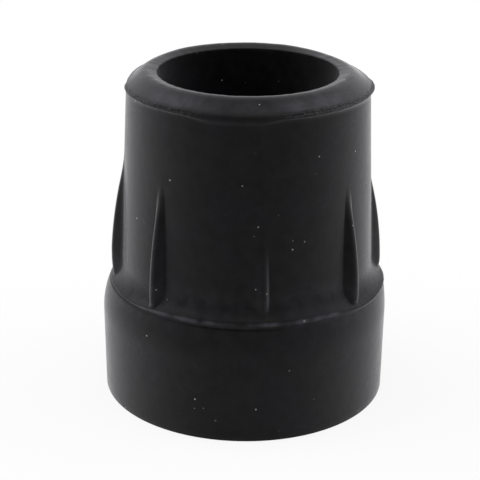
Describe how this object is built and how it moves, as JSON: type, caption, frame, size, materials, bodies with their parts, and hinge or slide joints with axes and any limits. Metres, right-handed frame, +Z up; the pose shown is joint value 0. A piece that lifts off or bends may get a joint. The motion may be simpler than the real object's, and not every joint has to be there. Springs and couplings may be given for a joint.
{
  "type": "rubber cane tip",
  "caption": "One-piece moulded rubber tip for the end of a round cane tube, with a wide foot, a ribbed neck, a sloping lip and a blind bore.",
  "frame": {"origin": "centre of the tread, on the surface that the tip stands on", "axes": "+Z up the axis of the bore, out of its mouth; +X lies 6 degrees clockwise, seen from above, of the first rib"},
  "size_m": [0.0372, 0.0372, 0.0428],
  "materials": {
    "rubber": "satin, as moulded, lightly dusty"
  },
  "bodies": {
    "root": {"cane_tip": "rubber"}
  },
  "joints": []
}
